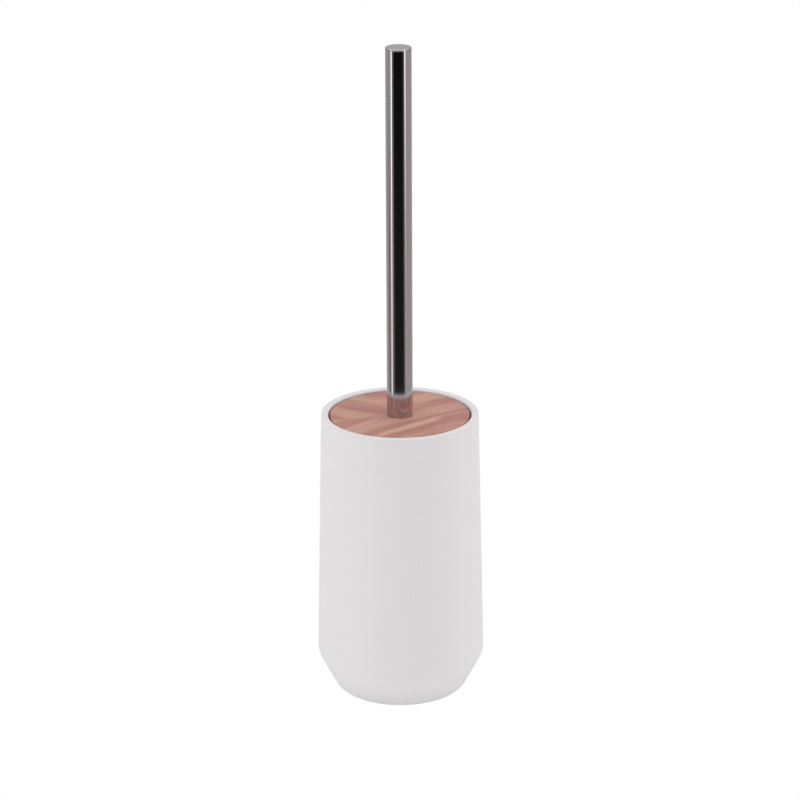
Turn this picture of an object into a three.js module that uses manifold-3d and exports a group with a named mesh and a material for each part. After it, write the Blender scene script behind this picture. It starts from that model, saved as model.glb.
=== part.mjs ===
// Toilet brush holder: a round cup with a removable liner, and a brush whose wooden lid closes the cup.
// Units are millimetres, +Z is up, and Z = 0 is the surface that the holder stands on. The handle's axis is X = Y = 0.
import * as THREE from 'three';
import { mergeVertices } from 'three/addons/utils/BufferGeometryUtils.js';
import Module from 'manifold-3d';

const wasm = await Module();
wasm.setup();

// ---- Driving dimensions ----
const GAP = 0.3;                 // clearance between pieces that touch on the real object

const FOOT_HEIGHT = 0.8;         // how far the rubber feet stand below the shell
const FOOT_RADIUS = 5;
const FOOT_CIRCLE = 27;          // radius of the circle that the feet sit on
const FOOT_COUNT = 4;
const POCKET_DEPTH = 1.1;

const SHELL_WALL = 4.2;
const SHELL_FLOOR = 4;
const BASE_RADIUS = 37.3;        // the sharp corner under the chamfer
const WAIST_RADIUS = 49.3;       // the sharp corner above the chamfer
const WAIST_Z = 23.6;
const RIM_RADIUS = 46;
const RIM_Z = 172;

const LID_RADIUS = 40.8;
const LID_THICKNESS = 7.8;
const LID_TOP_Z = 171;
const LID_HOLE_RADIUS = 4.6;
const LID_RECESS_DEPTH = 1;

const HANDLE_RADIUS = 7.5;
const HANDLE_WALL = 0.8;
const HANDLE_TOP_Z = 390.4;
const CAP_THICKNESS = 0.8;
const CAP_PLUG_DEPTH = 8;

const STUD_RADIUS = 4;           // M8 thread
const THREAD_PITCH = 1.25;
const THREAD_TURNS = 7;          // turns from tight to free
const PLUG_LENGTH = 20;

const LINER_WALL = 1.6;
const LINER_FLOOR = 2;
const LINER_BASE_RADIUS = 31;
const LINER_SHOULDER_RADIUS = 38.6;
const LINER_SHOULDER_Z = 19;
const LINER_TOP_RADIUS = 39.8;
const FLANGE_RADIUS = 41.6;
const FLANGE_THICKNESS = 2;

const WASHER_THICKNESS = 1.5;
const NECK_RADIUS = 7;
const NECK_FLANGE_RADIUS = 14;
const NECK_FLANGE_THICKNESS = 3;
const NECK_CONE_HEIGHT = 8;      // from the core up to the neck
const FLANGE_CONE_HEIGHT = 4;    // from the neck up to its flange
const STUD_SOCKET_DEPTH = 12;
const CORE_RADIUS = 13;
const CORE_BOTTOM_Z = 25;
const CORE_TOP_Z = 93;
const HEAD_BOTTOM_Z = 17.8;
const TUFTS_PER_ROW = 16;
const ROW_RADII = [24, 31, 34, 35, 35, 35, 34, 30];
const ROW_HEIGHT = 7.6;
const ROW_PITCH = 8.4;

const FINE = 48;                 // flats round the cup, lid and liner
const COARSE = 32;               // flats round the handle and the neck

// ---- Heights that follow from them ----
const lidBottomZ = LID_TOP_Z - LID_THICKNESS;
const tubeBottomZ = LID_TOP_Z - LID_RECESS_DEPTH + GAP;
const capBottomZ = HANDLE_TOP_Z - CAP_THICKNESS;
const plugTopZ = tubeBottomZ + PLUG_LENGTH;
const studTopZ = tubeBottomZ + THREAD_PITCH * THREAD_TURNS;
const washerTopZ = lidBottomZ - GAP;
const neckTopZ = washerTopZ - WASHER_THICKNESS - GAP;
const studSocketZ = neckTopZ - STUD_SOCKET_DEPTH;
const shellFloorZ = FOOT_HEIGHT + SHELL_FLOOR;
const linerBottomZ = shellFloorZ + GAP;
const linerTopZ = lidBottomZ - GAP;

// ---- Materials ----
const material = (color, roughness, metalness = 0) =>
  new THREE.MeshStandardMaterial({ color, roughness, metalness });
const whitePlastic = material(0xe4e1e2, 0.75);
const linerPlastic = material(0xd9d9d9, 0.45);
const bristlePlastic = material(0xf2f2ef, 0.5);
const polishedSteel = material(0xc8c6c4, 0.08, 1);
const plainSteel = material(0xa9a9a9, 0.35, 1);
const wood = material(0xb98d7c, 0.6);
const rubber = material(0x2b2b2c, 0.9);

// ---- Shape helpers ----

/** The arc that rounds one corner [r, z, fillet, steps] of an outline, or the corner itself. */
function roundedCorner(before, [r, z, fillet = 0, steps = 3], after) {
  const corner = new THREE.Vector2(r, z);
  if (fillet === 0) return [corner];
  const back = new THREE.Vector2(before[0], before[1]).sub(corner).normalize();
  const ahead = new THREE.Vector2(after[0], after[1]).sub(corner).normalize();
  const halfAngle = Math.acos(back.dot(ahead)) / 2;
  const centre = back.clone().add(ahead).normalize().multiplyScalar(fillet / Math.sin(halfAngle)).add(corner);
  const tangent = fillet / Math.tan(halfAngle);
  const from = back.multiplyScalar(tangent).add(corner).sub(centre);
  const to = ahead.multiplyScalar(tangent).add(corner).sub(centre);
  const turn = Math.atan2(from.cross(to), from.dot(to));
  const origin = new THREE.Vector2();
  return Array.from({ length: steps + 1 }, (_, i) =>
    from.clone().rotateAround(origin, (turn * i) / steps).add(centre));
}

/** A solid of revolution about +Z from [r, z, fillet, steps] corners, listed anticlockwise in the r-z plane. */
function turned(corners, flats) {
  const closed = corners[0][0] > 0;
  const last = corners.length - 1;
  const points = corners.flatMap((corner, i) => {
    const before = corners[i === 0 ? last : i - 1];
    const after = corners[i === last ? 0 : i + 1];
    return roundedCorner(before, corner, after);
  });
  if (closed) points.push(points[0].clone());
  const geometry = new THREE.LatheGeometry(points, flats);
  geometry.rotateX(Math.PI / 2);
  return geometry;
}

/** A tube or ring with a plain rectangular section. */
function ring(innerRadius, outerRadius, bottomZ, topZ, flats) {
  const corners = [[innerRadius, bottomZ], [outerRadius, bottomZ], [outerRadius, topZ], [innerRadius, topZ]];
  return turned(corners, flats);
}

/** A solid disc or rod. */
function disc(radius, bottomZ, topZ, flats) {
  return turned([[0, bottomZ], [radius, bottomZ], [radius, topZ], [0, topZ]], flats);
}

/** A closed geometry as a manifold solid. */
function solid(geometry) {
  const bare = geometry.clone();
  bare.deleteAttribute('normal');
  bare.deleteAttribute('uv');
  const merged = mergeVertices(bare, 1e-4);
  const vertProperties = new Float32Array(merged.attributes.position.array);
  const triVerts = new Uint32Array(merged.index.array);
  return new wasm.Manifold(new wasm.Mesh({ numProp: 3, vertProperties, triVerts }));
}

/** A manifold solid as a geometry. */
function surface(manifold) {
  const { vertProperties, triVerts } = manifold.getMesh();
  const geometry = new THREE.BufferGeometry();
  geometry.setAttribute('position', new THREE.BufferAttribute(new Float32Array(vertProperties), 3));
  geometry.setIndex(new THREE.BufferAttribute(new Uint32Array(triVerts), 1));
  geometry.computeVertexNormals();
  return geometry;
}

function piece(name, geometry, itsMaterial) {
  const mesh = new THREE.Mesh(geometry, itsMaterial);
  mesh.name = name;
  return mesh;
}

/** Where foot i stands, as an offset from the axis. */
function footPlace(i) {
  const angle = (2 * Math.PI * i) / FOOT_COUNT;
  return [FOOT_CIRCLE * Math.cos(angle), FOOT_CIRCLE * Math.sin(angle)];
}

// ---- The holder ----

/** The white cup: a flat base, a chamfer up to the waist, and a wall that narrows to a rounded rim. */
function holderShell() {
  const chamferSlope = (WAIST_RADIUS - BASE_RADIUS) / (WAIST_Z - FOOT_HEIGHT);
  const chamferWall = SHELL_WALL / Math.cos(Math.atan(chamferSlope));
  const innerWaistZ = WAIST_Z + 1;
  const innerWaistRadius = WAIST_RADIUS - SHELL_WALL;
  const innerBaseRadius = BASE_RADIUS - chamferWall + chamferSlope * SHELL_FLOOR;
  const cup = solid(turned([
    [0, FOOT_HEIGHT],
    [BASE_RADIUS, FOOT_HEIGHT, 7.5, 5],
    [WAIST_RADIUS, WAIST_Z, 12, 4],
    [RIM_RADIUS, RIM_Z, 0.6, 2],
    [RIM_RADIUS - SHELL_WALL, RIM_Z, 0.6, 2],
    [innerWaistRadius, innerWaistZ],
    [innerBaseRadius, shellFloorZ],
    [0, shellFloorZ],
  ], FINE));
  const pockets = Array.from({ length: FOOT_COUNT }, (_, i) => {
    const [x, y] = footPlace(i);
    const pocket = disc(FOOT_RADIUS + GAP, FOOT_HEIGHT - 1, FOOT_HEIGHT + POCKET_DEPTH, COARSE / 2);
    return solid(pocket.translate(x, y, 0));
  });
  return surface(pockets.reduce((rest, pocket) => rest.subtract(pocket), cup));
}

/** One rubber foot, in its pocket under the shell. */
function footPad(i) {
  const [x, y] = footPlace(i);
  return disc(FOOT_RADIUS, 0, FOOT_HEIGHT + POCKET_DEPTH - GAP, COARSE / 2).translate(x, y, 0);
}

/** The cup that catches the drips, hanging clear of the shell's wall, with a flange that carries the lid. */
function dripLiner() {
  return turned([
    [0, linerBottomZ],
    [LINER_BASE_RADIUS, linerBottomZ, 3, 2],
    [LINER_SHOULDER_RADIUS, LINER_SHOULDER_Z],
    [LINER_TOP_RADIUS, linerTopZ - FLANGE_THICKNESS],
    [FLANGE_RADIUS, linerTopZ - FLANGE_THICKNESS],
    [FLANGE_RADIUS, linerTopZ],
    [LINER_TOP_RADIUS - LINER_WALL, linerTopZ],
    [LINER_SHOULDER_RADIUS - LINER_WALL, LINER_SHOULDER_Z + 0.5],
    [LINER_BASE_RADIUS - LINER_WALL + 0.6, linerBottomZ + LINER_FLOOR],
    [0, linerBottomZ + LINER_FLOOR],
  ], FINE);
}

// ---- The handle and the lid ----

function handleTube() {
  return ring(HANDLE_RADIUS - HANDLE_WALL, HANDLE_RADIUS, tubeBottomZ, capBottomZ - GAP, COARSE);
}

/** The disc that closes the tube, with a spigot that holds it inside. */
function handleCap() {
  const spigotRadius = HANDLE_RADIUS - HANDLE_WALL - GAP;
  return turned([
    [0, capBottomZ - CAP_PLUG_DEPTH],
    [spigotRadius, capBottomZ - CAP_PLUG_DEPTH],
    [spigotRadius, capBottomZ],
    [HANDLE_RADIUS, capBottomZ],
    [HANDLE_RADIUS, HANDLE_TOP_Z, 0.2, 1],
    [0, HANDLE_TOP_Z],
  ], COARSE);
}

/** The threaded insert in the tube's lower end, open at the bottom for the stud. */
function handlePlug() {
  const boreRadius = STUD_RADIUS + GAP;
  const boreTopZ = studTopZ + 1;
  const outerRadius = HANDLE_RADIUS - HANDLE_WALL - GAP;
  return turned([
    [0, boreTopZ],
    [boreRadius, boreTopZ],
    [boreRadius, tubeBottomZ],
    [outerRadius, tubeBottomZ],
    [outerRadius, plugTopZ],
    [0, plugTopZ],
  ], COARSE);
}

/** The wooden disc, with a hole for the stud and a shallow recess that the tube stands in. */
function lid() {
  return turned([
    [LID_HOLE_RADIUS, lidBottomZ],
    [LID_RADIUS, lidBottomZ, 0.5, 1],
    [LID_RADIUS, LID_TOP_Z, 0.5, 2],
    [HANDLE_RADIUS + GAP, LID_TOP_Z],
    [HANDLE_RADIUS + GAP, LID_TOP_Z - LID_RECESS_DEPTH],
    [LID_HOLE_RADIUS, LID_TOP_Z - LID_RECESS_DEPTH],
  ], FINE);
}

function sealWasher() {
  return ring(STUD_RADIUS + GAP, NECK_FLANGE_RADIUS, neckTopZ + GAP, washerTopZ, COARSE);
}

// ---- The brush head ----

function threadedStud() {
  return disc(STUD_RADIUS, studSocketZ + GAP, studTopZ, COARSE / 2);
}

/** The plastic neck and core: a domed end, the cylinder that holds the tufts, a cone, the neck and its flange. */
function brushCore() {
  const flangeBottomZ = neckTopZ - NECK_FLANGE_THICKNESS;
  return turned([
    [0, CORE_BOTTOM_Z],
    [CORE_RADIUS, CORE_BOTTOM_Z, 5, 2],
    [CORE_RADIUS, CORE_TOP_Z],
    [NECK_RADIUS, CORE_TOP_Z + NECK_CONE_HEIGHT],
    [NECK_RADIUS, flangeBottomZ - FLANGE_CONE_HEIGHT],
    [NECK_FLANGE_RADIUS, flangeBottomZ],
    [NECK_FLANGE_RADIUS, neckTopZ],
    [STUD_RADIUS + GAP, neckTopZ],
    [STUD_RADIUS + GAP, studSocketZ],
    [0, studSocketZ],
  ], COARSE);
}

/** A star-shaped outline with one wedge for each tuft. */
function tuftOutline(rootRadius, tipRadius, turn) {
  const pitch = (2 * Math.PI) / TUFTS_PER_ROW;
  const rootHalf = pitch * 0.36;
  const tipHalf = (rootHalf * rootRadius * 1.3) / tipRadius;
  const wedge = [[rootRadius, -rootHalf], [tipRadius, -tipHalf], [tipRadius, tipHalf], [rootRadius, rootHalf]];
  return Array.from({ length: TUFTS_PER_ROW }, (_, tuft) =>
    wedge.map(([radius, offset]) => {
      const angle = (tuft + turn) * pitch + offset;
      return new THREE.Vector2(radius * Math.cos(angle), radius * Math.sin(angle));
    })).flat();
}

/** One row of tufts round the core; odd rows are turned by half a tuft. */
function bristleRow(i) {
  const innerRadius = CORE_RADIUS + GAP;
  const outline = new THREE.Shape(tuftOutline(innerRadius + 1.5, ROW_RADII[i], (i % 2) / 2));
  const hole = new THREE.Path().absarc(0, 0, innerRadius, 0, 2 * Math.PI, true);
  outline.holes.push(hole);
  const options = { depth: ROW_HEIGHT, bevelEnabled: false, curveSegments: COARSE / 4 };
  return new THREE.ExtrudeGeometry(outline, options).translate(0, 0, CORE_BOTTOM_Z + 0.5 + i * ROW_PITCH);
}

/** The tufts that point down from the core's end. */
function bristleTip() {
  return turned([
    [0, HEAD_BOTTOM_Z],
    [11, HEAD_BOTTOM_Z],
    [17, HEAD_BOTTOM_Z + 3.5],
    [17, CORE_BOTTOM_Z - GAP],
    [0, CORE_BOTTOM_Z - GAP],
  ], COARSE / 2);
}

// ---- The assembly ----

const holder = new THREE.Group();
holder.add(piece('holder_shell', holderShell(), whitePlastic));
for (let i = 0; i < FOOT_COUNT; i += 1) holder.add(piece(`foot_pad_${i + 1}`, footPad(i), rubber));

const liner = new THREE.Group();
liner.add(piece('drip_liner', dripLiner(), linerPlastic));

const brush = new THREE.Group();
brush.add(piece('handle_tube', handleTube(), polishedSteel));
brush.add(piece('handle_cap', handleCap(), polishedSteel));
brush.add(piece('handle_plug', handlePlug(), plainSteel));
brush.add(piece('lid', lid(), wood));

const washer = new THREE.Group();
washer.add(piece('seal_washer', sealWasher(), rubber));

const head = new THREE.Group();
head.add(piece('threaded_stud', threadedStud(), plainSteel));
head.add(piece('brush_core', brushCore(), linerPlastic));
ROW_RADII.forEach((_, i) => head.add(piece(`bristle_row_${i + 1}`, bristleRow(i), bristlePlastic)));
head.add(piece('bristle_tip', bristleTip(), bristlePlastic));

const toiletBrushHolder = new THREE.Group();
toiletBrushHolder.add(holder, liner, brush, washer, head);

export default toiletBrushHolder;
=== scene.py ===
"""Toilet brush holder: the looks, built in Blender 4.5 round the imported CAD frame. Metres, +Z up."""

import math

import bmesh
import bpy
import numpy as np
from mathutils import Euler, Matrix, Vector


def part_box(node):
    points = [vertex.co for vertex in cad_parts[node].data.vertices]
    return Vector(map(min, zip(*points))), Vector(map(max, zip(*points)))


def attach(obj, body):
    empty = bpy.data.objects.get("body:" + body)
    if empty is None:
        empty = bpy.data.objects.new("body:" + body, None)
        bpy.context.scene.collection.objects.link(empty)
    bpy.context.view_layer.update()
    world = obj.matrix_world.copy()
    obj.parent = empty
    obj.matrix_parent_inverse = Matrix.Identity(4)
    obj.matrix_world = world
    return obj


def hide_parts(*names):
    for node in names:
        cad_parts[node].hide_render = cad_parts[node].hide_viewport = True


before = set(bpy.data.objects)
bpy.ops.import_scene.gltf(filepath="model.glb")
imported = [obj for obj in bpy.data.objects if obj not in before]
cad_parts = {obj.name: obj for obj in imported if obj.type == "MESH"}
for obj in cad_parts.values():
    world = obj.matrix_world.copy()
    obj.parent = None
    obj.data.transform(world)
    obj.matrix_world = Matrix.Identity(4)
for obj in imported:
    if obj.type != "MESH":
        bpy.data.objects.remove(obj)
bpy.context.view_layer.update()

MM = 0.001
SEGMENTS = 192  # round the cup, liner, lid and handle
FINE_SEGMENTS = 96  # round the neck and small rings
FOOT_SEGMENTS = 48
ARC_STEP = math.radians(9)  # turn of each step along a rounded corner
SHARP_ANGLE = math.radians(32)


def low(node):
    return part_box(node)[0]


def high(node):
    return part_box(node)[1]


# ---- Places that follow from the frame ----
SHELL_BOTTOM = low("holder_shell").z
RIM_Z = high("holder_shell").z
FOOT_RADIUS = (high("foot_pad_1").x - low("foot_pad_1").x) / 2
FOOT_CIRCLE = (high("foot_pad_1").x + low("foot_pad_1").x) / 2
LINER_BOTTOM = low("drip_liner").z
LINER_TOP = high("drip_liner").z
FLANGE_RADIUS = high("drip_liner").x
LID_RADIUS = high("lid").x
LID_BOTTOM = low("lid").z
LID_TOP = high("lid").z
TUBE_RADIUS = high("handle_tube").x
TUBE_BOTTOM = low("handle_tube").z
CAP_TOP = high("handle_cap").z
CAP_SPIGOT_BOTTOM = low("handle_cap").z
PLUG_RADIUS = high("handle_plug").x
PLUG_TOP = high("handle_plug").z
WASHER_RADIUS = high("seal_washer").x
WASHER_BOTTOM = low("seal_washer").z
WASHER_TOP = high("seal_washer").z
STUD_RADIUS = high("threaded_stud").x
STUD_BOTTOM = low("threaded_stud").z
STUD_TOP = high("threaded_stud").z
NECK_TOP = high("brush_core").z
CORE_BOTTOM = low("brush_core").z
TIP_BOTTOM = low("bristle_tip").z

# ---- Sizes that the frame's boxes don't tell ----
BASE_RADIUS = 37.3 * MM
WAIST_RADIUS = 49.3 * MM
WAIST_Z = 23.6 * MM
RIM_RADIUS = 46 * MM
SHELL_WALL = 4.2 * MM
SHELL_FLOOR = 4 * MM
LINER_WALL = 1.6 * MM
LINER_FLOOR = 2 * MM
LINER_BASE_RADIUS = 31 * MM
LINER_INNER_BASE_RADIUS = 30 * MM
LINER_SHOULDER_RADIUS = 38.6 * MM
LINER_SHOULDER_Z = 19 * MM
LINER_TOP_RADIUS = 39.8 * MM
FLANGE_THICKNESS = 2 * MM
LID_HOLE_RADIUS = 4.6 * MM
CAP_THICKNESS = 0.8 * MM
TUBE_WALL = 0.8 * MM
THREAD_PITCH = 1.25 * MM
THREAD_DEPTH = 0.7 * MM
THREAD_CREST = 1.13  # above 1, so that the crests are flat
THREAD_SLOPE = 1.25  # how fast the flanks fall, in thread depths for each half pitch
THREAD_CHAMFER = 0.8 * MM
CORE_RADIUS = 13 * MM
CORE_TOP = 93 * MM
NECK_RADIUS = 7 * MM
NECK_FLANGE_THICKNESS = 3 * MM
BRISTLE_ROWS = 8
TUFTS_PER_ROW = 16


# ---- Mesh helpers ----


def rounded_corner(before, corner, after):
    """The points that round one (r, z, fillet) corner, or the corner alone when it has no fillet."""
    point = np.array(corner[:2], float)
    fillet = corner[2] if len(corner) > 2 else 0
    if fillet == 0:
        return [point]
    back = np.array(before[:2], float) - point
    ahead = np.array(after[:2], float) - point
    back /= np.linalg.norm(back)
    ahead /= np.linalg.norm(ahead)
    half_angle = math.acos(float(back @ ahead)) / 2
    middle = (back + ahead) / np.linalg.norm(back + ahead)
    centre = point + middle * fillet / math.sin(half_angle)
    start = point + back * fillet / math.tan(half_angle) - centre
    end = point + ahead * fillet / math.tan(half_angle) - centre
    turn = math.atan2(start[0] * end[1] - start[1] * end[0], float(start @ end))
    steps = max(3, round(abs(turn) / ARC_STEP))
    points = []
    for i in range(steps + 1):
        c, s = math.cos(turn * i / steps), math.sin(turn * i / steps)
        points.append(centre + np.array([c * start[0] - s * start[1], s * start[0] + c * start[1]]))
    return points


def rounded(corners):
    """An outline in (r, z) through its corners, each rounded by its fillet radius."""
    points = []
    for i, corner in enumerate(corners):
        after = corners[(i + 1) % len(corners)]
        points += rounded_corner(corners[i - 1], corner, after)
    return points


def smooth(mesh):
    """Smooth shading with sharp edges where faces meet at more than SHARP_ANGLE."""
    bm = bmesh.new()
    bm.from_mesh(mesh)
    for face in bm.faces:
        face.smooth = True
    for edge in bm.edges:
        edge.smooth = len(edge.link_faces) == 2 and edge.calc_face_angle() < SHARP_ANGLE
    bm.to_mesh(mesh)
    bm.free()


def mesh_of(name, verts, faces):
    mesh = bpy.data.meshes.new(name)
    mesh.from_pydata([tuple(v) for v in verts], [], faces)
    mesh.validate()
    smooth(mesh)
    return mesh


def turned(name, corners, segments=FINE_SEGMENTS, place=(0, 0)):
    """A solid of revolution round +Z. Its outline runs anticlockwise in (r, z), axis to axis or closed."""
    outline = rounded(corners)
    closed = outline[0][0] > 0
    verts, rings, faces = [], [], []
    for r, z in outline:
        count = segments if r > 0 else 1
        rings.append(range(len(verts), len(verts) + count))
        for i in range(count):
            angle = 2 * math.pi * i / segments
            verts.append((place[0] + r * math.cos(angle), place[1] + r * math.sin(angle), z))
    pairs = list(zip(rings, rings[1:]))
    if closed:
        pairs.append((rings[-1], rings[0]))
    for a, b in pairs:
        for i in range(segments):
            j = (i + 1) % segments
            if len(a) == 1:
                faces.append((a[0], b[j], b[i]))
            elif len(b) == 1:
                faces.append((a[i], a[j], b[0]))
            else:
                faces.append((a[i], a[j], b[j], b[i]))
    return mesh_of(name, verts, faces)


def add_piece(name, mesh, material, body, slot, *nodes):
    """Puts the mesh in the scene as a piece that rides on body and stands for those CAD nodes."""
    obj = bpy.data.objects.new(name, mesh)
    bpy.context.scene.collection.objects.link(obj)
    mesh.materials.append(material)
    even = obj.modifiers.new("even_normals", "WEIGHTED_NORMAL")
    even.keep_sharp = True
    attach(obj, body)
    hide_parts(*nodes)


# ---- Node helpers ----

class Nodes:
    """Short calls for building a node tree."""

    def __init__(self, tree):
        self.tree = tree

    def add(self, kind, **settings):
        node = self.tree.nodes.new(kind)
        for key, value in settings.items():
            setattr(node, key, value)
        return node

    def feed(self, socket, value):
        if isinstance(value, bpy.types.NodeSocket):
            self.tree.links.new(value, socket)
        else:
            socket.default_value = value

    def maths(self, operation, *values):
        node = self.add("ShaderNodeMath", operation=operation)
        for socket, value in zip(node.inputs, values):
            self.feed(socket, value)
        return node.outputs[0]

    def vector(self, operation, *values):
        node = self.add("ShaderNodeVectorMath", operation=operation)
        for socket, value in zip(node.inputs, values):
            self.feed(socket, value)
        return node.outputs[0]

    def between(self, value, start, end, to_start=0.0, to_end=1.0):
        """A smooth step from to_start to to_end as value goes from start to end."""
        node = self.add("ShaderNodeMapRange", interpolation_type="SMOOTHSTEP")
        for key, what in zip(
            ("Value", "From Min", "From Max", "To Min", "To Max"), (value, start, end, to_start, to_end)
        ):
            self.feed(node.inputs[key], what)
        return node.outputs["Result"]

    def noise(self, vector, scale, detail, roughness):
        node = self.add("ShaderNodeTexNoise")
        for key, what in zip(("Vector", "Scale", "Detail", "Roughness"), (vector, scale, detail, roughness)):
            self.feed(node.inputs[key], what)
        return node.outputs["Fac"]

    def mix(self, share, a, b):
        """Colour a turning into colour b as share goes from 0 to 1."""
        node = self.add("ShaderNodeMix", data_type="RGBA")
        self.feed(node.inputs[0], share)
        self.feed(node.inputs[6], a)
        self.feed(node.inputs[7], b)
        return node.outputs[2]

    def shader_mix(self, share, a, b):
        """Shader a turning into shader b as share goes from 0 to 1."""
        node = self.add("ShaderNodeMixShader")
        for socket, value in zip(node.inputs, (share, a, b)):
            self.feed(socket, value)
        return node.outputs[0]

    def bump(self, height, distance, strength):
        node = self.add("ShaderNodeBump")
        self.feed(node.inputs["Height"], height)
        self.feed(node.inputs["Distance"], distance)
        self.feed(node.inputs["Strength"], strength)
        return node.outputs["Normal"]


def srgb(r, g, b):
    """An 8-bit screen colour as the linear colour that a socket takes."""
    def linear(v):
        v /= 255
        return v / 12.92 if v <= 0.04045 else ((v + 0.055) / 1.055) ** 2.4
    return linear(r), linear(g), linear(b), 1.0


def new_material(name, **sockets):
    """A Principled material with these socket values, its Nodes and its shader."""
    material = bpy.data.materials.new(name)
    material.use_nodes = True
    nodes = Nodes(material.node_tree)
    shader = material.node_tree.nodes["Principled BSDF"]
    for key, value in sockets.items():
        shader.inputs[key.replace("_", " ")].default_value = value
    return material, nodes, shader


def position(nodes):
    return nodes.add("ShaderNodeTexCoord").outputs["Object"]


# ---- Materials ----

def shell_material():
    """Very matte white: a fine even grain, and a faint mottle that only shows close up."""
    material, nodes, shader = new_material("matte_white", Specular_IOR_Level=0.25)
    at = position(nodes)
    mottle = nodes.noise(at, 45, 3, 0.6)
    colour = nodes.mix(mottle, srgb(222, 219, 220), srgb(225, 222.5, 223))
    nodes.feed(shader.inputs["Base Color"], colour)
    grain = nodes.noise(at, 2600, 3, 0.65)
    nodes.feed(shader.inputs["Roughness"], nodes.between(grain, 0.2, 0.8, 0.74, 0.86))
    nodes.feed(shader.inputs["Normal"], nodes.bump(grain, 0.02 * MM, 0.6))
    return material


def plastic_material(name, colour, roughness, grain_depth):
    """Moulded plastic: one colour, slightly uneven gloss and a trace of mould texture."""
    material, nodes, shader = new_material(name, Base_Color=colour, Specular_IOR_Level=0.45)
    at = position(nodes)
    cloud = nodes.noise(at, 180, 3, 0.6)
    gloss = nodes.between(cloud, 0.25, 0.75, roughness - 0.05, roughness + 0.07)
    nodes.feed(shader.inputs["Roughness"], gloss)
    grain = nodes.noise(at, 1500, 2, 0.5)
    nodes.feed(shader.inputs["Normal"], nodes.bump(grain, grain_depth, 0.5))
    return material


def rubber_material():
    """Dark rubber with a fine rough skin and a little grey bloom."""
    material, nodes, shader = new_material("rubber", Specular_IOR_Level=0.3)
    at = position(nodes)
    bloom = nodes.noise(at, 300, 4, 0.6)
    nodes.feed(shader.inputs["Base Color"], nodes.mix(bloom, srgb(34, 34, 36), srgb(58, 57, 58)))
    nodes.feed(shader.inputs["Roughness"], nodes.between(bloom, 0.3, 0.7, 0.75, 0.9))
    grain = nodes.noise(at, 3000, 2, 0.6)
    nodes.feed(shader.inputs["Normal"], nodes.bump(grain, 0.03 * MM, 0.6))
    return material


def polished_steel_material():
    """Mirror-polished steel with a few soft smudges; fine polishing draws reflections out lengthwise."""
    material, nodes, shader = new_material(
        "polished_steel", Base_Color=(0.50, 0.46, 0.465, 1), Metallic=1.0,
        Anisotropic=1.0, Anisotropic_Rotation=0.25,
    )
    at = position(nodes)
    smudges = nodes.noise(at, 60, 4, 0.6)
    nodes.feed(shader.inputs["Roughness"], nodes.between(smudges, 0.5, 0.75, 0.065, 0.085))
    return material


def turned_steel_material():
    """Plain machined steel, with the fine rings that turning leaves."""
    material, nodes, shader = new_material("turned_steel", Metallic=1.0)
    at = position(nodes)
    rings = nodes.noise(nodes.vector("MULTIPLY", at, (30, 30, 4200)), 1, 2, 0.5)
    stain = nodes.noise(at, 220, 3, 0.6)
    nodes.feed(shader.inputs["Base Color"], nodes.mix(stain, srgb(176, 175, 174), srgb(201, 200, 198)))
    nodes.feed(shader.inputs["Roughness"], nodes.between(rings, 0.2, 0.8, 0.24, 0.4))
    nodes.feed(shader.inputs["Normal"], nodes.bump(rings, 0.01 * MM, 0.5))
    return material


SLANTING = (0.8, -2.5)  # slope, and bend per metre, of the lines that the grain follows on the lid
LEVEL = (0.18, 13.5)  # the same for the back left of it
WOOD_STREAKS = (
    # grain, place across it, half width, first x, last x (all in mm), share, colour
    (SLANTING, -19, 1.1, 4, 42, 0.8, "dark"),
    (SLANTING, -17, 3.0, -12, 22, 0.45, "dark"),
    (SLANTING, 0.5, 2.0, 7, 33, 0.65, "dark"),
    (SLANTING, -38, 1.2, 7, 17, 0.6, "dark"),
    (LEVEL, 4.2, 2.4, -36, -9, 0.7, "dark"),
    (SLANTING, -25, 3.5, -12, 22, 0.65, "pale"),
    (SLANTING, 3.3, 3.0, -32, -12, 0.5, "pale"),
)
WOOD_TONES = {"dark": (158, 108, 104), "pale": (214, 173, 153)}


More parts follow.
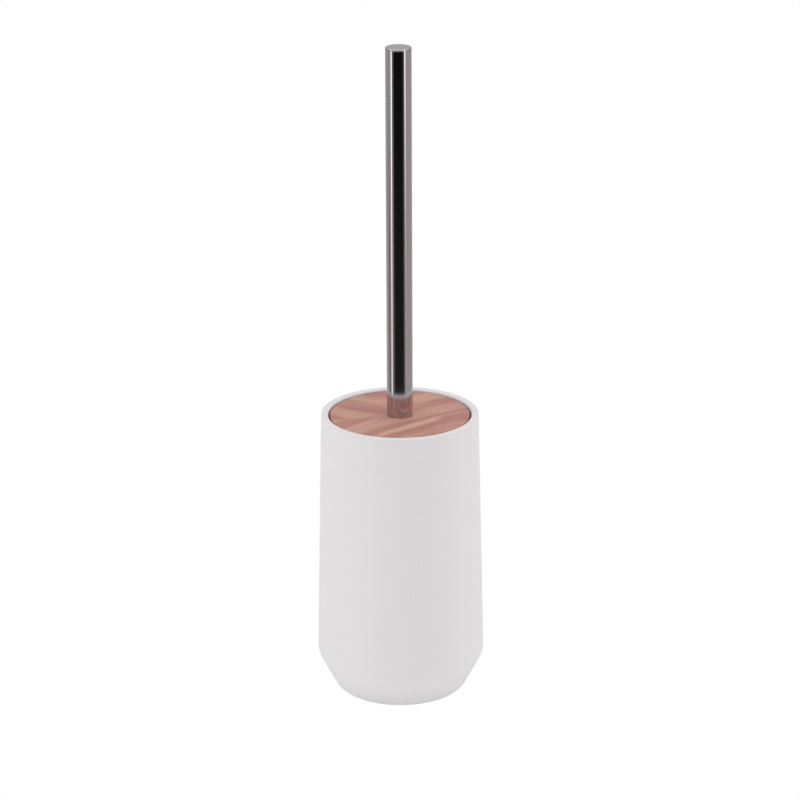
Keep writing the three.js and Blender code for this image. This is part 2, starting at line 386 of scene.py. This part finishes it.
def wood_material():
    """Pinkish brown wood: slanting grain, nearly level at the back left, with a few broad streaks."""
    material, nodes, shader = new_material("lid_wood", Specular_IOR_Level=0.2)
    at = position(nodes)
    split = nodes.add("ShaderNodeSeparateXYZ")
    nodes.feed(split.inputs[0], at)
    x, y, z = split.outputs
    wander = nodes.maths("MULTIPLY", nodes.maths("SUBTRACT", nodes.noise(at, 26, 2, 0.5), 0.5), 0.008)

    def across(grain):
        """How far a point lies across the grain lines."""
        slope, bend = grain
        rise = nodes.maths("MULTIPLY", nodes.maths("MULTIPLY_ADD", x, bend, slope), x)
        return nodes.maths("ADD", nodes.maths("SUBTRACT", y, rise), wander)

    behind = nodes.between(nodes.maths("MULTIPLY_ADD", x, -0.3, y), -4 * MM, 6 * MM)
    back_left = nodes.maths("MULTIPLY", behind, nodes.between(x, 4 * MM, -8 * MM))
    places = {grain: across(grain) for grain in (SLANTING, LEVEL)}

    def fibres(along, over, detail, roughness=0.55, shift=0.0):
        """Noise drawn out along the grain."""
        drawn = []
        for grain in (SLANTING, LEVEL):
            point = nodes.add("ShaderNodeCombineXYZ")
            for socket, value in zip(point.inputs, (x, places[grain], z)):
                nodes.feed(socket, value)
            size = (along, over, over * 0.4)
            scaled = nodes.vector("MULTIPLY_ADD", point.outputs[0], size, (shift, shift, 0))
            drawn.append(nodes.noise(scaled, 1, detail, roughness))
        return nodes.maths("MULTIPLY_ADD", nodes.maths("SUBTRACT", drawn[1], drawn[0]), back_left, drawn[0])

    def streak(grain, place, half_width, first, last):
        """1 along one streak of the board, fading out at its sides and ends."""
        away = nodes.maths("ABSOLUTE", nodes.maths("SUBTRACT", places[grain], place * MM))
        side = nodes.between(away, half_width * 1.6 * MM, half_width * 0.2 * MM)
        start = nodes.between(x, (first - 5) * MM, (first + 5) * MM)
        end = nodes.between(x, (last + 5) * MM, (last - 5) * MM)
        return nodes.maths("MULTIPLY", side, nodes.maths("MULTIPLY", start, end))

    broad = fibres(14, 70, 3)
    middle = fibres(22, 210, 4, 0.62, 5.3)
    fine = fibres(40, 1300, 3, 0.6, 7.7)
    pore = fibres(170, 2600, 2, 0.5, 11.3)
    colour = nodes.mix(nodes.between(broad, 0.33, 0.67), srgb(168, 115, 106), srgb(193, 151, 135))
    for grain, place, half_width, first, last, share, tone in WOOD_STREAKS:
        there = nodes.maths("MULTIPLY", streak(grain, place, half_width, first, last), share)
        colour = nodes.mix(there, colour, srgb(*WOOD_TONES[tone]))
    colour = nodes.mix(nodes.between(middle, 0.54, 0.76, 0.0, 0.5), colour, srgb(168, 110, 104))
    colour = nodes.mix(nodes.between(middle, 0.46, 0.24, 0.0, 0.4), colour, srgb(210, 170, 150))
    colour = nodes.mix(nodes.between(fine, 0.35, 0.75, 0.0, 0.3), colour, srgb(158, 108, 98))
    colour = nodes.mix(nodes.between(pore, 0.66, 0.74, 0.0, 0.45), colour, srgb(120, 76, 70))
    nodes.feed(shader.inputs["Base Color"], colour)
    nodes.feed(shader.inputs["Roughness"], nodes.between(fine, 0.3, 0.7, 0.5, 0.64))
    relief = nodes.maths("SUBTRACT", nodes.maths("MULTIPLY", fine, 0.4), nodes.between(pore, 0.62, 0.74))
    nodes.feed(shader.inputs["Normal"], nodes.bump(relief, 0.02 * MM, 0.5))
    return material


def bristle_material():
    """White nylon filaments, each with its own shade."""
    material, nodes, shader = new_material("nylon", Specular_IOR_Level=0.5)
    shade = nodes.add("ShaderNodeAttribute", attribute_name="shade").outputs["Fac"]
    nodes.feed(shader.inputs["Base Color"], nodes.mix(shade, srgb(214, 214, 210), srgb(240, 240, 237)))
    nodes.feed(shader.inputs["Roughness"], nodes.between(shade, 0.0, 1.0, 0.3, 0.45))
    return material


# ---- The holder ----

def make_shell(material):
    """The cup: base, chamfer, waist, and a wall that narrows to a rounded rim."""
    slope = (WAIST_RADIUS - BASE_RADIUS) / (WAIST_Z - SHELL_BOTTOM)
    inner_base = BASE_RADIUS - SHELL_WALL / math.cos(math.atan(slope)) + slope * SHELL_FLOOR
    mesh = turned("cup", [
        (0, SHELL_BOTTOM),
        (BASE_RADIUS, SHELL_BOTTOM, 7.5 * MM),
        (WAIST_RADIUS, WAIST_Z, 12 * MM),
        (RIM_RADIUS, RIM_Z, 0.35 * MM),
        (RIM_RADIUS - SHELL_WALL, RIM_Z, 1.2 * MM),
        (WAIST_RADIUS - SHELL_WALL, WAIST_Z + 1 * MM, 10 * MM),
        (inner_base, SHELL_BOTTOM + SHELL_FLOOR, 3 * MM),
        (0, SHELL_BOTTOM + SHELL_FLOOR),
    ], SEGMENTS)
    add_piece("cup", mesh, material, "holder", "shell", "holder_shell")


def make_feet(material):
    for i in range(4):
        angle = math.pi / 2 * i
        place = (FOOT_CIRCLE * math.cos(angle), FOOT_CIRCLE * math.sin(angle))
        mesh = turned(f"foot_{i + 1}", [
            (0, 0),
            (FOOT_RADIUS, 0, 0.3 * MM),
            (FOOT_RADIUS, SHELL_BOTTOM),
            (0, SHELL_BOTTOM),
        ], FOOT_SEGMENTS, place)
        add_piece(f"foot_{i + 1}", mesh, material, "holder", "rubber", f"foot_pad_{i + 1}")


def make_liner(material):
    """The drip cup, with a rounded flange that carries the lid."""
    flange_bottom = LINER_TOP - FLANGE_THICKNESS
    mesh = turned("liner", [
        (0, LINER_BOTTOM),
        (LINER_BASE_RADIUS, LINER_BOTTOM, 3 * MM),
        (LINER_SHOULDER_RADIUS, LINER_SHOULDER_Z, 8 * MM),
        (LINER_TOP_RADIUS, flange_bottom, 0.8 * MM),
        (FLANGE_RADIUS, flange_bottom, 0.7 * MM),
        (FLANGE_RADIUS, LINER_TOP, 0.7 * MM),
        (LINER_TOP_RADIUS - LINER_WALL, LINER_TOP, 0.8 * MM),
        (LINER_SHOULDER_RADIUS - LINER_WALL, LINER_SHOULDER_Z + 0.5 * MM, 7 * MM),
        (LINER_INNER_BASE_RADIUS, LINER_BOTTOM + LINER_FLOOR, 3 * MM),
        (0, LINER_BOTTOM + LINER_FLOOR),
    ], SEGMENTS)
    add_piece("liner", mesh, material, "liner", "liner", "drip_liner")


# ---- The handle and the lid ----

def make_tube(material):
    edge = 0.25 * MM
    top = CAP_TOP - CAP_THICKNESS
    inner = TUBE_RADIUS - TUBE_WALL
    mesh = turned("tube", [
        (inner, TUBE_BOTTOM),
        (TUBE_RADIUS, TUBE_BOTTOM, edge),
        (TUBE_RADIUS, top, edge),
        (inner, top),
    ], SEGMENTS)
    add_piece("tube", mesh, material, "brush", "handle", "handle_tube")


def make_cap(material):
    """The disc that closes the tube; its lower edge and the tube's leave a fine seam."""
    spigot = TUBE_RADIUS - TUBE_WALL - 0.05 * MM
    seat = CAP_TOP - CAP_THICKNESS + 0.1 * MM
    mesh = turned("cap", [
        (0, CAP_SPIGOT_BOTTOM),
        (spigot, CAP_SPIGOT_BOTTOM),
        (spigot, seat),
        (TUBE_RADIUS, seat, 0.15 * MM),
        (TUBE_RADIUS, CAP_TOP, 0.3 * MM),
        (0, CAP_TOP),
    ], SEGMENTS)
    add_piece("cap", mesh, material, "brush", "handle", "handle_cap")


def make_plug(material):
    bore = STUD_RADIUS + 0.1 * MM
    bore_top = STUD_TOP + 1 * MM
    mesh = turned("insert", [
        (0, bore_top),
        (bore, bore_top),
        (bore, TUBE_BOTTOM, 0.3 * MM),
        (PLUG_RADIUS, TUBE_BOTTOM, 0.2 * MM),
        (PLUG_RADIUS, PLUG_TOP, 0.5 * MM),
        (0, PLUG_TOP),
    ])
    add_piece("insert", mesh, material, "brush", "hardware", "handle_plug")


def make_lid(material):
    """The wooden disc, with softly broken edges, a recess for the tube and a hole for the stud."""
    recess = TUBE_RADIUS + 0.06 * MM
    mesh = turned("wooden_lid", [
        (LID_HOLE_RADIUS, LID_BOTTOM, 0.4 * MM),
        (LID_RADIUS, LID_BOTTOM, 0.6 * MM),
        (LID_RADIUS, LID_TOP, 0.2 * MM),
        (recess, LID_TOP, 0.08 * MM),
        (recess, TUBE_BOTTOM - 0.1 * MM),
        (LID_HOLE_RADIUS, TUBE_BOTTOM - 0.1 * MM),
    ], SEGMENTS)
    add_piece("wooden_lid", mesh, material, "brush", "lid", "lid")


def make_washer(material):
    hole = STUD_RADIUS + 0.3 * MM
    mesh = turned("washer", [
        (hole, WASHER_BOTTOM, 0.2 * MM),
        (WASHER_RADIUS, WASHER_BOTTOM, 0.4 * MM),
        (WASHER_RADIUS, WASHER_TOP, 0.4 * MM),
        (hole, WASHER_TOP, 0.2 * MM),
    ])
    add_piece("washer", mesh, material, "washer", "rubber", "seal_washer")


# ---- The brush head ----

def make_stud(material):
    """The M8 stud: a right-hand helical thread with chamfered ends."""
    around, per_pitch = 64, 10
    rows = round((STUD_TOP - STUD_BOTTOM) / THREAD_PITCH * per_pitch)
    verts, faces = [], []
    for i in range(rows + 1):
        z = STUD_BOTTOM + (STUD_TOP - STUD_BOTTOM) * i / rows
        from_end = min(z - STUD_BOTTOM, STUD_TOP - z)
        for j in range(around):
            phase = ((z - STUD_BOTTOM) / THREAD_PITCH - j / around) % 1
            profile = THREAD_CREST - THREAD_SLOPE * abs(2 * phase - 1)
            depth = THREAD_DEPTH * min(1, max(0, profile))
            radius = min(STUD_RADIUS - THREAD_DEPTH + depth, STUD_RADIUS - THREAD_CHAMFER + from_end)
            angle = 2 * math.pi * j / around
            verts.append((radius * math.cos(angle), radius * math.sin(angle), z))
    for i in range(rows):
        for j in range(around):
            k = (j + 1) % around
            faces.append((i * around + j, i * around + k, (i + 1) * around + k, (i + 1) * around + j))
    faces.append(tuple(reversed(range(around))))
    faces.append(tuple(range(rows * around, (rows + 1) * around)))
    mesh = mesh_of("stud", verts, faces)
    add_piece("stud", mesh, material, "head", "hardware", "threaded_stud")


def make_core(material):
    """The plastic core, neck and flange of the head, with soft moulded corners."""
    socket = STUD_RADIUS + 0.3 * MM
    flange_bottom = NECK_TOP - NECK_FLANGE_THICKNESS
    mesh = turned("head_core", [
        (0, CORE_BOTTOM),
        (CORE_RADIUS, CORE_BOTTOM, 5 * MM),
        (CORE_RADIUS, CORE_TOP, 2 * MM),
        (NECK_RADIUS, CORE_TOP + 8 * MM, 6 * MM),
        (NECK_RADIUS, flange_bottom - 4 * MM, 5 * MM),
        (WASHER_RADIUS, flange_bottom, 0.6 * MM),
        (WASHER_RADIUS, NECK_TOP, 0.5 * MM),
        (socket, NECK_TOP, 0.3 * MM),
        (socket, STUD_BOTTOM - 0.3 * MM),
        (0, STUD_BOTTOM - 0.3 * MM),
    ])
    add_piece("head_core", mesh, material, "head", "core", "brush_core")


FILAMENT_RADIUS = 0.2 * MM
FILAMENT_SIDES = 4
FILAMENT_RINGS = 6
FILAMENTS_PER_TUFT = 26


def filament_mesh(name, roots, tips, bends, shades):
    """Thin tubes from roots to tips, bowed sideways by their bends, as one mesh with a shade for each."""
    count = len(roots)
    t = np.linspace(0, 1, FILAMENT_RINGS)[None, :, None]
    line = roots[:, None] + (tips - roots)[:, None] * t + bends[:, None] * (t * t * (2 - t))
    tangent = np.gradient(line, axis=1)
    tangent /= np.linalg.norm(tangent, axis=2, keepdims=True)
    side = np.cross(tangent, np.array([0.31, 0.17, 0.93]))
    side /= np.linalg.norm(side, axis=2, keepdims=True)
    up = np.cross(tangent, side)
    turn = 2 * np.pi * np.arange(FILAMENT_SIDES) / FILAMENT_SIDES
    width = FILAMENT_RADIUS * (1 - 0.25 * t[..., None])
    ring = side[:, :, None] * np.cos(turn)[:, None] + up[:, :, None] * np.sin(turn)[:, None]
    verts = (line[:, :, None] + ring * width).reshape(-1, 3)
    faces = []
    for f in range(count):
        first = f * FILAMENT_RINGS * FILAMENT_SIDES
        for r in range(FILAMENT_RINGS - 1):
            a = first + r * FILAMENT_SIDES
            for s in range(FILAMENT_SIDES):
                n = (s + 1) % FILAMENT_SIDES
                faces.append((a + s, a + n, a + FILAMENT_SIDES + n, a + FILAMENT_SIDES + s))
        last = first + (FILAMENT_RINGS - 1) * FILAMENT_SIDES
        faces.append(tuple(first + s for s in reversed(range(FILAMENT_SIDES))))
        faces.append(tuple(last + s for s in range(FILAMENT_SIDES)))
    mesh = bpy.data.meshes.new(name)
    mesh.from_pydata(verts.tolist(), [], faces)
    mesh.polygons.foreach_set("use_smooth", np.ones(len(faces), bool))
    shade = mesh.attributes.new("shade", "FLOAT", "POINT")
    shade.data.foreach_set("value", np.repeat(shades, FILAMENT_RINGS * FILAMENT_SIDES).astype(np.float32))
    return mesh


def tuft(random, root, direction, length, spread):
    """Roots, tips, bends and shades of one tuft that leaves root along direction and flares by spread."""
    direction = direction / np.linalg.norm(direction)
    side = np.cross(direction, (0.2, 0.1, 0.97))
    side /= np.linalg.norm(side)
    up = np.cross(side, direction)
    angle = random.uniform(0, 2 * np.pi, FILAMENTS_PER_TUFT)
    reach = np.sqrt(random.uniform(0, 1, FILAMENTS_PER_TUFT))
    across = reach[:, None] * (np.cos(angle)[:, None] * side + np.sin(angle)[:, None] * up)
    roots = root + across * 1.3 * MM
    lengths = length * random.uniform(0.97, 1.02, FILAMENTS_PER_TUFT)[:, None]
    tips = root + direction * lengths + across * spread * 0.6
    bends = across * spread * 0.4 + random.normal(0, 0.35 * MM, (FILAMENTS_PER_TUFT, 3))
    shades = random.uniform(0, 1, FILAMENTS_PER_TUFT)
    return roots, tips, bends, shades


def joined(tufts):
    return [np.concatenate(parts) for parts in zip(*tufts)]


def make_bristle_rows(material):
    """Rows of tufts that reach as far out as their CAD row; every other row is turned by half a tuft."""
    for row in range(BRISTLE_ROWS):
        node = f"bristle_row_{row + 1}"
        random = np.random.default_rng(100 + row)
        middle = (low(node).z + high(node).z) / 2
        reach = high(node).y
        lean = 0.16 * (row / (BRISTLE_ROWS - 1) - 0.5)
        tufts = []
        for i in range(TUFTS_PER_ROW):
            angle = 2 * math.pi * (i + (row % 2) / 2) / TUFTS_PER_ROW
            outward = np.array([math.cos(angle), math.sin(angle), 0])
            root = outward * (CORE_RADIUS - 0.6 * MM) + np.array([0, 0, middle])
            tufts.append(tuft(random, root, outward + np.array([0, 0, lean]), reach - CORE_RADIUS, 3.4 * MM))
        mesh = filament_mesh(f"tufts_{row + 1}", *joined(tufts))
        add_piece(f"tufts_{row + 1}", mesh, material, "head", "bristles", node)


def make_tip_tufts(material):
    """Short tufts that fan down from the core's end."""
    random = np.random.default_rng(99)
    tufts = []
    for count, radius, outward_share in ((1, 0, 0), (6, 4.6 * MM, 0.25), (12, 9.2 * MM, 0.6)):
        for i in range(count):
            angle = 2 * math.pi * (i + 0.5) / count
            outward = np.array([math.cos(angle), math.sin(angle), 0])
            root = outward * radius + np.array([0, 0, CORE_BOTTOM + 0.6 * MM])
            direction = outward * outward_share + np.array([0, 0, -1])
            length = (root[2] - TIP_BOTTOM) * math.hypot(1, outward_share)
            tufts.append(tuft(random, root, direction, length * 0.96, 2.2 * MM))
    mesh = filament_mesh("tip_tufts", *joined(tufts))
    add_piece("tip_tufts", mesh, material, "head", "bristles", "bristle_tip")


# ---- The studio ----

DOME_STRENGTH = 0.77
MIRROR_STRENGTH = 1.28
SIDE_POWER = 2.6
SIDE_TURN = 13  # degrees
TOP_POWER = 5
FLOOR_BOUNCE = 0.18  # the floor's own light, as of a lit translucent sweep
FLOOR_SIZE = 30
AIM_HEIGHT = 0.12  # where the lights point, on the object's axis
SIDE_DISTANCE = 1.3
SIDE_HEIGHT = 0.55
TOP_HEIGHT = 1.85

# What polished metal mirrors. Brightness is before MIRROR_STRENGTH; azimuths are in degrees, 0 is the front.
FRONT_DARK = 0.006
FRONT_NEAR_FLOOR = 0.012  # added low down
WALL = 0.40
WALL_ABOVE = 0.06  # added above the horizon
CEILING = 1.5
LEFT_STRIP = (-65.5, 4.2, 1.85)  # azimuth, half width, brightness
RIGHT_STRIP = (58, 4.5, 1.8)
DARK_STRIP = (-97, 7, 0.31)
LEFT_STRIP_LEVEL = -0.23  # the z of the direction in which the left strip is at its azimuth; it leans
LEFT_STRIP_LOSS = 0.85  # how much dimmer it is at the foot
RIGHT_STRIP_LOSS = 1.7
DARKEST = 0.004


def studio_world():
    """Metal mirrors a dark front, two light strips, grey walls and a ceiling; the camera sees plain white."""
    world = bpy.data.worlds.new("studio")
    bpy.context.scene.world = world
    world.use_nodes = True
    tree = world.node_tree
    tree.nodes.clear()
    nodes = Nodes(tree)
    split = nodes.add("ShaderNodeSeparateXYZ")
    nodes.feed(split.inputs[0], nodes.add("ShaderNodeTexCoord").outputs["Generated"])
    x, y, z = split.outputs
    azimuth = nodes.maths("ARCTAN2", x, nodes.maths("MULTIPLY", y, -1.0))
    foot = nodes.between(z, -0.245, -0.30)
    floor_side = nodes.between(z, -0.25, -0.335)
    above = nodes.between(z, -0.1, 0.2)

    def strip(centre, half_width, brightness):
        """A vertical band of that brightness. Its centre is in radians, half its width in degrees."""
        away = nodes.maths("ABSOLUTE", nodes.maths("SUBTRACT", azimuth, centre))
        edge = math.radians(half_width)
        band = nodes.between(away, edge * 1.4, edge * 0.6)
        return nodes.maths("MULTIPLY", band, brightness)

    open_left = nodes.between(azimuth, math.radians(-36), math.radians(-74))
    open_right = nodes.between(azimuth, math.radians(30), math.radians(72))
    open_side = nodes.maths("ADD", open_left, open_right)
    front = nodes.maths("MULTIPLY_ADD", floor_side, FRONT_NEAR_FLOOR, FRONT_DARK)
    walls = nodes.maths("MULTIPLY_ADD", above, WALL_ABOVE, WALL)
    mirror = nodes.maths("MULTIPLY_ADD", open_side, walls, front)
    mirror = nodes.maths("ADD", mirror, nodes.between(z, 0.5, 0.8, 0.0, CEILING))

    azimuth_left, width_left, bright_left = LEFT_STRIP
    left_centre = nodes.maths("ADD", z, math.radians(azimuth_left) - LEFT_STRIP_LEVEL)
    left = nodes.maths("MULTIPLY_ADD", foot, -LEFT_STRIP_LOSS, bright_left)
    mirror = nodes.maths("ADD", mirror, strip(left_centre, width_left, left))

    azimuth_right, width_right, bright_right = RIGHT_STRIP
    fade = nodes.between(z, -0.225, -0.30)
    right = nodes.maths("MULTIPLY_ADD", fade, -RIGHT_STRIP_LOSS, bright_right)
    mirror = nodes.maths("ADD", mirror, strip(math.radians(azimuth_right), width_right, right))

    azimuth_dark, width_dark, taken_away = DARK_STRIP
    dark = nodes.maths("MULTIPLY", foot, taken_away)
    mirror = nodes.maths("SUBTRACT", mirror, strip(math.radians(azimuth_dark), width_dark, dark))
    mirror = nodes.maths("MAXIMUM", mirror, DARKEST)

    path = nodes.add("ShaderNodeLightPath")
    soft = nodes.add("ShaderNodeBackground")
    soft.inputs["Color"].default_value = (1, 1, 1, 1)
    soft.inputs["Strength"].default_value = DOME_STRENGTH
    mirrored = nodes.add("ShaderNodeBackground")
    nodes.feed(mirrored.inputs["Color"], mirror)
    mirrored.inputs["Strength"].default_value = MIRROR_STRENGTH
    seen = nodes.add("ShaderNodeBackground")
    seen.inputs["Color"].default_value = (1, 1, 1, 1)
    seen.inputs["Strength"].default_value = 1.0
    for_metal = nodes.shader_mix(path.outputs["Is Glossy Ray"], soft.outputs[0], mirrored.outputs[0])
    for_camera = nodes.shader_mix(path.outputs["Is Camera Ray"], for_metal, seen.outputs[0])
    out = nodes.add("ShaderNodeOutputWorld")
    nodes.feed(out.inputs["Surface"], for_camera)


def make_floor():
    """A floor that the camera sees as plain white, and that throws some light back up at the object."""
    bpy.ops.mesh.primitive_plane_add(size=FLOOR_SIZE, location=(0, 0, 0))
    floor = bpy.context.object
    floor.name = "floor"
    material = bpy.data.materials.new("floor")
    material.use_nodes = True
    nodes = Nodes(material.node_tree)
    material.node_tree.nodes.clear()
    pale = nodes.add("ShaderNodeBsdfDiffuse")
    pale.inputs["Color"].default_value = (0.9, 0.9, 0.9, 1)
    glow = nodes.add("ShaderNodeEmission")
    glow.inputs["Strength"].default_value = FLOOR_BOUNCE
    lit = nodes.add("ShaderNodeAddShader")
    nodes.feed(lit.inputs[0], pale.outputs[0])
    nodes.feed(lit.inputs[1], glow.outputs[0])
    white = nodes.add("ShaderNodeEmission")
    path = nodes.add("ShaderNodeLightPath")
    shown = nodes.shader_mix(path.outputs["Is Camera Ray"], lit.outputs[0], white.outputs[0])
    out = nodes.add("ShaderNodeOutputMaterial")
    nodes.feed(out.inputs["Surface"], shown)
    floor.data.materials.append(material)
    floor.visible_glossy = False


def softbox(name, power, width, height, place):
    """A soft rectangular light at place, turned towards the middle of the object."""
    light = bpy.data.lights.new(name, "AREA")
    light.shape = "RECTANGLE"
    light.size = width
    light.size_y = height
    light.energy = power
    obj = bpy.data.objects.new(name, light)
    aim = Vector((0, 0, AIM_HEIGHT)) - Vector(place)
    obj.rotation_euler = aim.to_track_quat("-Z", "Y").to_euler()
    obj.location = place
    obj.visible_glossy = False
    bpy.context.scene.collection.objects.link(obj)


def make_lights():
    """Two tall lights at the sides, which leave the front slightly darker, and one overhead."""
    turn = math.radians(SIDE_TURN)
    for name, way in (("left", -1), ("right", 1)):
        reach = way * SIDE_DISTANCE
        place = (reach * math.cos(turn), reach * math.sin(turn), SIDE_HEIGHT)
        softbox(name, SIDE_POWER, 0.7, 1.1, place)
    softbox("top", TOP_POWER, 0.6, 0.6, (0, 0, TOP_HEIGHT))


CAMERA_PLACE = (0.0001, -1.875, 0.8463)
CAMERA_DIP = 19.567  # degrees below the horizon
CAMERA_ROLL = -0.246  # degrees
LENS = 153.66  # mm
SENSOR_WIDTH = 36  # mm


def make_camera():
    """A long lens, a little above the handle's top, looking down by about 20 degrees."""
    data = bpy.data.cameras.new("camera")
    data.lens = LENS
    data.sensor_width = SENSOR_WIDTH
    data.clip_end = 60
    camera = bpy.data.objects.new("camera", data)
    bpy.context.scene.collection.objects.link(camera)
    tilt = Euler((math.radians(90 - CAMERA_DIP), 0, 0)).to_matrix()
    roll = Matrix.Rotation(math.radians(CAMERA_ROLL), 3, "Z")
    camera.matrix_world = Matrix.Translation(CAMERA_PLACE) @ (tilt @ roll).to_4x4()
    bpy.context.scene.camera = camera


def main():
    bpy.context.scene.view_settings.view_transform = "Standard"
    make_camera()
    studio_world()
    make_floor()
    make_lights()

    rubber = rubber_material()
    steel = turned_steel_material()
    polished = polished_steel_material()
    nylon = bristle_material()
    make_shell(shell_material())
    make_feet(rubber)
    make_liner(plastic_material("liner_plastic", srgb(224, 224, 223), 0.38, 0.01 * MM))
    make_tube(polished)
    make_cap(polished)
    make_plug(steel)
    make_lid(wood_material())
    make_washer(rubber)
    make_stud(steel)
    make_core(plastic_material("core_plastic", srgb(232, 232, 230), 0.33, 0.01 * MM))
    make_bristle_rows(nylon)
    make_tip_tufts(nylon)


main()
